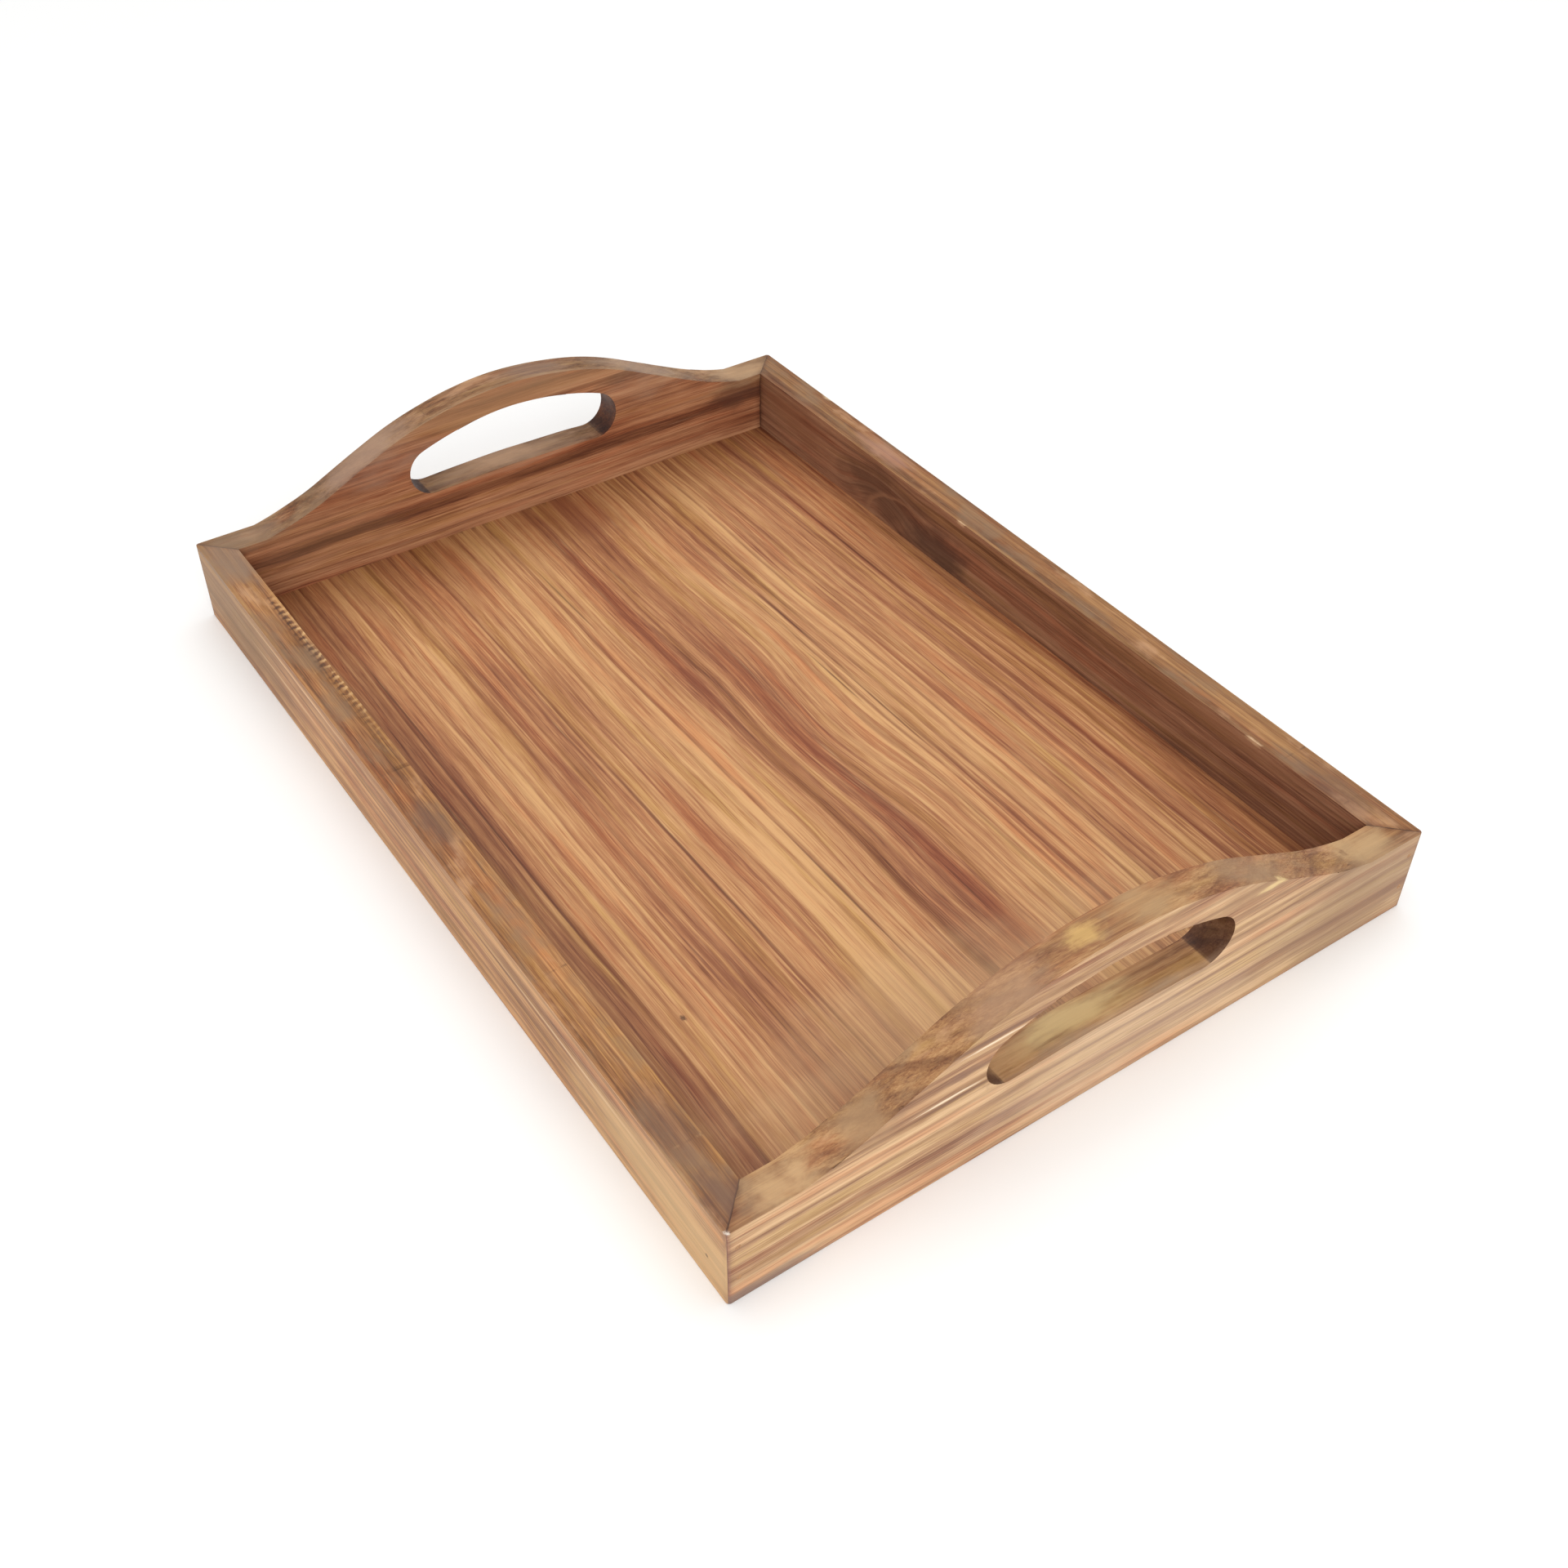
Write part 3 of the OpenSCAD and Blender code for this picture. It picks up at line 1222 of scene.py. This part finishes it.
@dataclass
class FigureFace:
    """The floor's face: one sheet of figured veneer, lying almost flat in its groove."""

    node: str
    name: str
    finish: RotaryVeneer
    cell: float = 5 * MM
    ripple: float = 0.12 * MM
    ripple_length: float = 110 * MM
    ripple_width: float = 50 * MM
    margin: float = 14 * MM

    def build(self) -> None:
        """Make the veneer's piece."""
        low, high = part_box(self.node)
        size = high - low
        middle = (low + high) / 2
        bm = bmesh.new()
        bmesh.ops.create_grid(
            bm, x_segments=round(size.x / self.cell), y_segments=round(size.y / self.cell), size=0.5,
            matrix=Matrix.Translation((middle.x, middle.y, high.z))
            @ Matrix.Diagonal((size.x, size.y, 1.0, 1.0)),
        )
        upper = list(bm.verts)
        solid = bmesh.ops.extrude_face_region(bm, geom=list(bm.faces), use_keep_orig=True)
        lower = [v for v in solid["geom"] if isinstance(v, bmesh.types.BMVert)]
        bmesh.ops.translate(bm, verts=lower, vec=(0.0, 0.0, low.z - high.z))
        for vert in upper:
            inset = min(size.x / 2 - abs(vert.co.x - middle.x), size.y / 2 - abs(vert.co.y - middle.y))
            free = min(1.0, max(0.0, inset / self.margin - 1.0))
            where = Vector((vert.co.x / self.ripple_length, vert.co.y / self.ripple_width, 0.0))
            vert.co.z += free * self.ripple * noise.noise(where)
        for face in bm.faces:
            face.smooth = abs(face.normal.z) > 0.5
        deliver(bm, self.name, self.finish.material(), self.node)


@dataclass
class FillerPlugs:
    """The plugs of filler over a corner's brads, sanded flush and shrunk a hair as they dried."""

    end: End
    side: Side
    material: bpy.types.Material
    segments: int = 24
    rings: int = 2
    ring: float = 0.3
    sink: float = 0.12 * MM

    def build(self) -> None:
        """Make the plugs of one corner."""
        node = f"{self.end.name}_{self.side.name}_filler".lower()
        low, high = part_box(node)
        radius = (high.y - low.y) / 2
        depth = high.x - low.x
        face = high.x if self.end is End.NEAR else low.x
        bm = bmesh.new()
        for height in (low.z + radius, high.z - radius):
            start = Matrix.Translation((face, (low.y + high.y) / 2, height))
            turn = Matrix.Rotation(self.end.value * math.pi / 2, 4, "Y")
            disc = bmesh.ops.create_circle(
                bm, cap_ends=True, segments=self.segments, radius=radius, matrix=start @ turn)
            cap = disc["verts"][0].link_faces[0]
            grown = bmesh.ops.extrude_face_region(bm, geom=[cap], use_keep_orig=True)
            back = [v for v in grown["geom"] if isinstance(v, bmesh.types.BMVert)]
            bmesh.ops.translate(bm, verts=back, vec=(-self.end.value * depth, 0.0, 0.0))
            for _ in range(self.rings):
                dish = bmesh.ops.inset_individual(bm, faces=[cap], thickness=radius * self.ring)
                for inner in dish["faces"]:
                    inner.smooth = True
            bmesh.ops.translate(bm, verts=cap.verts, vec=(-self.end.value * self.sink, 0.0, 0.0))
        deliver(bm, node + "_plugs", self.material, node)


# ---------------------------------------------------------------------------
# Studio
# ---------------------------------------------------------------------------


@dataclass(frozen=True)
class Softbox:
    """One square softbox: its name, its place, the length of its side and its power in watts."""

    name: str
    place: tuple[float, float, float]
    size: float
    power: float

    def hang(self) -> None:
        """Hang it, turned to the tray."""
        data = bpy.data.lights.new(self.name, "AREA")
        data.shape = "SQUARE"
        data.size = self.size
        data.energy = self.power
        lamp = bpy.data.objects.new(self.name, data)
        lamp.location = self.place
        lamp.rotation_mode = "QUATERNION"
        lamp.rotation_quaternion = (-Vector(self.place)).to_track_quat("-Z", "Y")
        bpy.context.scene.collection.objects.link(lamp)


@dataclass
class Studio:
    """A pale floor, soft light and the camera."""

    eye: Vector = field(default_factory=lambda: Vector((0.4899, -0.3227, 0.5103)))
    aim: Vector = field(default_factory=lambda: Vector((0.0279, -0.0027, 0.0)))
    lens: float = 40.65
    roll: float = math.radians(0.37)
    nearest: float = 10 * MM
    floor_size: float = 40.0
    floor_colour: str = "#f9f9f8"
    floor_roughness: float = 0.9
    air_colour: str = "#ffffff"
    air_light: float = 0.6
    lamps: tuple[Softbox, ...] = (
        Softbox("key_softbox", (2.6, -1.1, 2.0), 2.2, 52.0),
        Softbox("top_softbox", (-0.4, 0.3, 3.6), 3.6, 62.0),
    )

    def build(self) -> None:
        """Set up the floor, the lights and the camera."""
        self._floor()
        self._camera()
        for lamp in self.lamps:
            lamp.hang()
        world = bpy.data.worlds.new("studio_air")
        world.use_nodes = True
        air = world.node_tree.nodes["Background"]
        air.inputs["Color"].default_value = linear(self.air_colour)
        air.inputs["Strength"].default_value = self.air_light
        bpy.context.scene.world = world
        bpy.context.scene.view_settings.view_transform = "Standard"

    def _floor(self) -> None:
        """Lay the pale floor under the tray."""
        bm = bmesh.new()
        bmesh.ops.create_grid(bm, x_segments=1, y_segments=1, size=self.floor_size / 2)
        mesh = bpy.data.meshes.new("studio_floor")
        bm.to_mesh(mesh)
        bm.free()
        floor = bpy.data.objects.new("studio_floor", mesh)
        paper = bpy.data.materials.new("pale_paper")
        paper.use_nodes = True
        shader = paper.node_tree.nodes["Principled BSDF"]
        shader.inputs["Base Color"].default_value = linear(self.floor_colour)
        shader.inputs["Roughness"].default_value = self.floor_roughness
        mesh.materials.append(paper)
        bpy.context.scene.collection.objects.link(floor)

    def _camera(self) -> None:
        """Place the camera."""
        camera = bpy.data.objects.new("camera", bpy.data.cameras.new("camera"))
        camera.data.lens = self.lens
        camera.data.clip_start = self.nearest
        camera.location = self.eye
        camera.rotation_mode = "QUATERNION"
        look = (self.aim - self.eye).to_track_quat("-Z", "Y")
        camera.rotation_quaternion = look @ Quaternion((0.0, 0.0, 1.0), self.roll)
        bpy.context.scene.collection.objects.link(camera)
        bpy.context.scene.camera = camera


@dataclass
class ServingTray:
    """The whole tray, built from its boards, floor and fixings."""

    plan: TrayPlan

    def build(self) -> None:
        """Make every piece in order."""
        self._near_board()
        self._far_board()
        self._left_rail()
        self._right_rail()
        self._floor()
        self._fixings()

    def _near_board(self) -> None:
        """Make the near handle board: broad cream and brown layers."""
        figure = Figure(
            span=110.0, lean=0.55, sway=5.0, tremble=1.5,
            tones=(
                (0, 0.42), (3, 0.22), (8, 0.12), (12, 0.42), (15, 0.6), (18, 0.5), (22, 0.16),
                (26, 0.2), (28, 0.6), (30, 0.22), (33, 0.14), (35, 0.3), (37, 0.1), (41, 0.4),
                (45, 0.5), (49, 0.24), (54, 0.55), (58, 0.3), (63, 0.5), (68, 0.24), (73, 0.5),
                (79, 0.3), (86, 0.5), (94, 0.3), (110, 0.4),
            ),
            lines=growth(
                (11, 0.25, 3), (17.5, 0.35, 3), (28.5, 0.55, 1.5), (34.5, 0.3), (42.5, 0.45),
                (46.5, 0.35), (53, 0.5), (57.5, 0.35), (64, 0.5), (70, 0.3), (76, 0.4), (84, 0.4),
                (91, 0.3),
            ),
        )
        palette = Palette("#ddb88c", "#bd946b", "#9c7050", "#744d36", "#774d36", "#e7c99e")
        patches = spots(
            (self.plan.length / 2, 0.0, 0.0),
            ((0, -146, 0), (30, 45, 7), "#77625c", 0.75),
            ((-7, -135, 42), (13, 17, 6), "#c9a375", 0.75),
            ((-7, -103, 50), (14, 15, 13), "#a4815d", 0.75),
            ((-7, -45, 73), (14, 26, 16), "#b68d6c", 0.5),
            ((-8, -12, 79), (7, 10, 6), "#d2ab68", 0.7),
            ((-7, 15, 78), (14, 20, 8), "#bf9a6c", 0.5),
            ((-7, 64, 65), (14, 30, 18), "#a4815d", 0.55),
            ((0, 74, 60.5), (4, 11, 1.8), "#e4c68c", 0.8),
            ((-7, 132, 41), (16, 22, 6), "#c3a175", 0.7),
            ((-9, 124, 40.3), (3, 3, 3), "#7a5536", 0.7),
            ((0, 140, 20), (6, 90, 40), "#8f7054", 0.6),
            ((0, 10, 20), (6, 90, 30), "#d8bfa3", 0.3),
            # Pale and dark line pairs beside the grip hole: painted highlights and painted shadows of
            # raised grain.
            ((0, -52, 63.5), (2, 30, 1.6), "#7c5a45", 0.7),
            ((0, -54, 61.5), (2, 20, 0.8), "#f3dcbc", 0.9),
            ((0, -66, 53), (2, 14, 3), "#8a6650", 0.7),
            ((0, -72, 44.6), (2, 19, 0.9), "#f3dcbc", 0.9),
            ((0, -68, 42.5), (2, 20, 1.2), "#7c5a45", 0.6),
            ((-8.5, -10, 35.5), (8.5, 36, 4), "#d0b27c", 0.85),
            ((-8.5, -40, 36), (8.5, 14, 4), "#b58a5c", 0.6),
            ((-5, -22, 35.7), (1, 12, 3), "#7d5635", 0.6),
            ((-6, -55.5, 42), (10, 5, 8), "#9c7458", 0.6),
            ((0, -160, 40.5), (2.2, 2.2, 1.8), "#f2e6d6", 0.9),
        )
        finish = StainedPine("stained_pine_near_end", self.plan, figure, palette, Grain.ACROSS,
                             1.0, patches=patches, inward=(-1.0, 0.0, 0.0), end_grain_and_shade="#8f7c78",
                             contrast=1.45)
        EndBoard("near_end_board", "near_handle_board", self.plan, finish, seed=0.31).build()

    def _far_board(self) -> None:
        """Make the far handle board: mottled, with one dark layer low across it."""
        figure = Figure(
            span=110.0, lean=-0.4, sway=6.0, tremble=2.2,
            tones=(
                (0, 0.45), (4, 0.3), (9, 0.5), (13, 0.25), (18, 0.4), (21, 0.8), (25, 0.7),
                (28, 0.35), (34, 0.45), (38, 0.28), (44, 0.5), (49, 0.35), (54, 0.55), (58, 0.42),
                (63, 0.3), (68, 0.5), (74, 0.4), (110, 0.45),
            ),
            lines=growth(
                (8, 0.35), (15, 0.3), (24.5, 0.5, 3), (31, 0.35), (39, 0.35), (45, 0.4), (52, 0.35),
                (60, 0.45), (67, 0.3),
            ),
        )
        palette = Palette("#d6ac7d", "#b8895f", "#946745", "#6c452e", "#6b412b", "#e0bb8e")
        patches = spots(
            (-self.plan.length / 2, 0.0, 0.0),
            # Dark patch in the inner corner by the right rail: dirt and painted shadow.
            ((15, 132, 34), (10, 24, 14), "#4f3228", 0.55),
            ((15, 62, 64), (10, 20, 4), "#54362a", 0.6),
            ((10, -48, 46), (12, 12, 10), "#453429", 0.75),
            ((7.5, 0, 35.5), (14, 50, 4), "#bd9a7c", 0.6),
            ((7.5, -75, 62), (14, 50, 22), "#a88872", 0.7),
            ((7.5, -140, 42), (14, 30, 8), "#816b57", 0.6),
            ((7.5, 15, 78.5), (14, 25, 6), "#8a7060", 0.5),
            ((7.5, 75, 62), (14, 40, 22), "#b0937a", 0.5),
            ((7.5, 135, 40), (14, 30, 6), "#c4a07a", 0.6),
            ((15, -35, 17), (3, 60, 1.6), "#b98558", 0.6),
            ((15, 90, 39), (3, 35, 1.4), "#b07a50", 0.55),
            ((15, 20, 15.5), (3, 50, 1), "#c08d60", 0.5),
            ((15, 0, 75), (4, 50, 1.4), "#5c3a28", 0.5),
            ((15, 0, 73), (4, 90, 14), "#b28e69", 0.5),
            ((15, -100, 30), (4, 50, 20), "#b58e6c", 0.18),
            ((15, -100, 28), (4, 50, 2), "#5a3826", 0.35),
        )
        finish = StainedPine("stained_pine_far_end", self.plan, figure, palette, Grain.ACROSS,
                             9.0, patches=patches, inward=(1.0, 0.0, 0.0), top="#c0b8ac",
                             contrast=1.6)
        EndBoard("far_end_board", "far_handle_board", self.plan, finish, seed=0.77).build()

    def _left_rail(self) -> None:
        """Make the left rail: tan, with thin pale streaks."""
        figure = Figure(
            span=70.0, lean=0.7, sway=6.0, tremble=1.2,
            tones=(
                (0, 0.3), (6, 0.4), (12, 0.34), (16, 0.5), (20, 0.44), (22, 0.18), (24, 0.46),
                (26, 0.24), (29, 0.5), (33, 0.4), (35, 0.15), (37, 0.42), (44, 0.5), (52, 0.36),
                (60, 0.5), (70, 0.4),
            ),
            lines=growth(
                (5, 0.25), (10, 0.25), (17, 0.3), (28, 0.35), (32, 0.25), (38, 0.4), (45, 0.3),
                (53, 0.35), (61, 0.3),
            ),
        )
        palette = Palette("#dba870", "#bc8757", "#986541", "#71482d", "#75482c", "#e7bd85")
        side = self.plan.width / 2
        patches = spots(
            (0.0, -side, 0.0),
            ((195, 0, 16), (90, 4, 30), "#e2bb84", 0.6),
            ((-195, 0, 20), (100, 4, 40), "#8d6a44", 0.65),
            ((-203, 8, 40), (34, 14, 4), "#8d7460", 0.7),
            ((8, 9, 40), (22, 8, 4), "#6f5242", 0.6),
            ((180, 7, 40), (30, 9, 4), "#7a5a48", 0.5),
            ((213, 8, 40), (18, 12, 4), "#6b4c3e", 0.65),
            ((213, 0, 14), (1.2, 2, 1.2), "#5b3d2b", 0.8),
            ((-100, 0, 35.2), (90, 2, 0.8), "#e6c69c", 0.7),
            ((-125, 0, 22.2), (50, 2, 1), "#e3c298", 0.6),
            ((120, 0, 26.2), (75, 2, 0.9), "#e9cca4", 0.6),
            ((225, 0, 40.5), (2.2, 2.2, 1.8), "#f2e6d6", 0.9),
        )
        chatter = Chatter(-166.0, -34.0)
        under = 0.3 * MM
        arris = Vector((0.0, self.plan.board - side - under, self.plan.rail_top - under))
        reach, push = 1.9 * MM, Vector((0.0, -0.5 * MM, -0.6 * MM))
        dents = [
            Dent(arris + Vector((place * MM, 0.0, 0.0)), reach, push) for place in chatter.places()
        ]
        finish = StainedPine("stained_pine_left_rail", self.plan, figure, palette, Grain.ALONG,
                             17.0, patches=patches, inward=(0.0, 1.0, 0.0), top="#e7e1d6",
                             chatter=chatter, contrast=1.7)
        SideRail("left_side_rail", "left_rail_board", self.plan, finish, dents=dents).build()

    def _right_rail(self) -> None:
        """Make the right rail: dark inside, with a swirl of grain round a buried knot."""
        figure = Figure(
            span=70.0, lean=-0.6, sway=6.0, tremble=2.0,
            tones=(
                (0, 0.45), (5, 0.3), (11, 0.5), (16, 0.36), (22, 0.55), (27, 0.4), (32, 0.5),
                (38, 0.35), (45, 0.5), (52, 0.4), (60, 0.5), (70, 0.4),
            ),
            lines=growth(
                (4, 0.3), (9, 0.3), (14, 0.3), (21, 0.4), (26, 0.3), (33, 0.35), (40, 0.3),
                (48, 0.35), (57, 0.3),
            ),
            swells=(Swell(-102.0, 22.0, 42.0, 20.0, -9.0),),
        )
        palette = Palette("#d2a071", "#b6835a", "#936343", "#6d452e", "#6d442d", "#dcb283")
        side = self.plan.width / 2 - self.plan.board
        patches = spots(
            (0.0, side, 0.0),
            ((-100, 0, 22), (50, 10, 20), "#422a22", 0.6),
            ((-170, 0, 26), (35, 10, 20), "#8a5a40", 0.45),
            ((120, 0, 35), (90, 10, 4), "#96694a", 0.5),
            ((-83, 0, 8), (33, 10, 21), "#9a6f52", 0.6, 0.88),
            ((-190, 0, 30), (30, 10, 10), "#9a6b4c", 0.4),
            ((-55, 0, 14), (34, 10, 18), "#4a332c", 0.75),
            ((-40, 0, 39.5), (4, 1.6, 1.4), "#d9b48c", 0.8),
            ((150, 0, 39.5), (6, 2, 1.6), "#d9b48c", 0.8),
            ((-169, 15, 39.5), (6, 2, 2), "#dcc09c", 0.7),
            ((-110, 8, 40), (30, 7, 3), "#b98c76", 0.5),
            ((190, 7, 40), (30, 9, 4), "#6d5142", 0.5),
        )
        under = 0.4 * MM
        inner = Vector((0.0, side + under, self.plan.rail_top - under))
        outer = inner + Vector((0.0, self.plan.board - 2 * under, 0.0))
        chip = Vector((0.0, 0.5 * MM, -0.6 * MM))
        knock = Vector((0.0, -0.5 * MM, -0.5 * MM))
        dents = [
            Dent(arris + Vector((place * MM, 0.0, 0.0)), reach * MM, push)
            for arris, place, reach, push in (
                (inner, -40, 3, chip), (inner, -47, 2, chip), (inner, 150, 4, chip),
                (outer, -169, 4, knock))
        ]
        finish = StainedPine("stained_pine_right_rail", self.plan, figure, palette, Grain.ALONG,
                             29.0, patches=patches, inward=(0.0, -1.0, 0.0), inside="#d8d7eb",
                             top="#d8d3bf", contrast=1.4)
        SideRail("right_side_rail", "right_rail_board", self.plan, finish, dents=dents).build()

    def _floor(self) -> None:
        """Lay the plywood floor's three layers."""
        figure = Figure(
            span=290.0, sway=7.0, tremble=1.8,
            tones=(
                (0, 0.5), (12, 0.42), (25, 0.42), (36, 0.38), (48, 0.34), (60, 0.3), (73, 0.12),
                (84, 0.26), (96, 0.18), (108, 0.16), (118, 0.34), (126, 0.6), (133, 0.4),
                (139, 0.46), (146, 0.62), (154, 0.24), (168, 0.1), (180, 0.12), (192, 0.26),
                (204, 0.36), (228, 0.38), (240, 0.22), (252, 0.24), (263, 0.4), (276, 0.44),
                (290, 0.46),
            ),
            lines=growth(
                (5, 0.2), (10, 0.2), (17, 0.4, 4), (27.5, 0.85, 4, 1.4), (34.5, 0.25), (41, 0.35),
                (48, 0.25), (56, 0.4), (62.5, 0.55, 3), (69.5, 0.55, 2), (75, 0.2),
                (80.5, 0.7, 2.4), (86.5, 0.8, 2.8), (91, 0.6, 1.8), (98, 0.45, 3.5), (103, 0.25),
                (108, 0.25), (113, 0.25), (125, 0.35, 6, 2), (130, 0.3, 3, 2), (138, 0.3, 2),
                (147.5, 0.55, 5, 1.2), (154, 0.2), (161, 0.25), (169, 0.65, 2.5), (175, 0.3),
                (181, 0.2), (188, 0.35), (195.5, 0.4), (201, 0.2), (208.5, 0.75, 2.2, 0.8),
                (214, 0.3), (220, 0.25), (227, 0.45, 3.5), (232.5, 0.6, 3), (242, 0.4), (247, 0.2),
                (251.5, 0.5), (259, 0.35), (267, 0.8, 2.6, 1.2), (271, 0.5), (279, 0.35),
            ),
            swells=(
                Swell(230.0, 122.0, 75.0, 42.0, -5.5), Swell(150.0, 100.0, 50.0, 24.0, 1.5),
                Swell(330.0, 140.0, 90.0, 30.0, -3.0),
            ),
        )
        palette = Palette("#d5a46f", "#b27a50", "#8a5337", "#633721", "#7d452a", "#dcb07c")
        end = self.plan.length / 2 / MM
        patches = spots(
            (0.0, 0.0, self.plan.floor_top),
            ((end - 45, -20, 0), (55, 130, 10), "#dab586", 0.32),
            ((120, -111, 0), (2.2, 1.4, 10), "#4a2a1c", 0.8),
            ((-190, 20, 0), (35, 30, 10), "#7c4228", 0.35),
            *(((10.5 - end, place, 0), (9, 2.2, 10), "#48261a", 0.7)
              for place in (62, 26, 11, 3, -22, -29, -36, -100)),
            *(((start, place, 0), (reach, 0.7, 10), "#542c1a", 0.65)
              for start, place, reach in (
                  (-90, 118, 50), (-60, 59, 35), (20, 58, 50), (-10, 52, 30), (60, -63.5, 90),
                  (0, -122, 120), (-100, -120, 70), (-130, -20, 40), (100, -24, 50))),
        )
        figured = RotaryVeneer("stained_rotary_pine_veneer", self.plan, figure, palette,
                               roughness=0.48, patches=patches, contrast=1.15)
        FigureFace("floor_face_veneer", "floor_figured_face", figured).build()
        self._dress("floor_core_ply", PlainVeneer("bare_core_veneer", Grain.ACROSS, seed=5.0))
        self._dress("floor_back_veneer", PlainVeneer(
            "plain_back_veneer", Grain.ALONG, "#cda274", "#a97b50", seed=40.0))

    def _fixings(self) -> None:
        """Fill over the brads and dress them."""
        filler = WoodFiller().material()
        for end, side in product(End, Side):
            FillerPlugs(end, side, filler).build()
            self._dress(f"{end.name}_{side.name}_brads".lower(), DrawnSteel())

    def _dress(self, node: str, finish: PlainVeneer | DrawnSteel) -> None:
        """Give a node of the frame its finish.

        Args:
            node: The node's name.
            finish: The finish.
        """
        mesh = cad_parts[node].data
        mesh.materials.clear()
        mesh.materials.append(finish.material())
        log.info("%s: dressed with %s", node, finish.name)


def main() -> None:
    """Build the tray and its studio."""
    logging.basicConfig(level=logging.INFO, format="%(name)s %(message)s")
    Studio().build()
    ServingTray(TrayPlan.from_frame()).build()


if __name__ == "__main__":
    main()
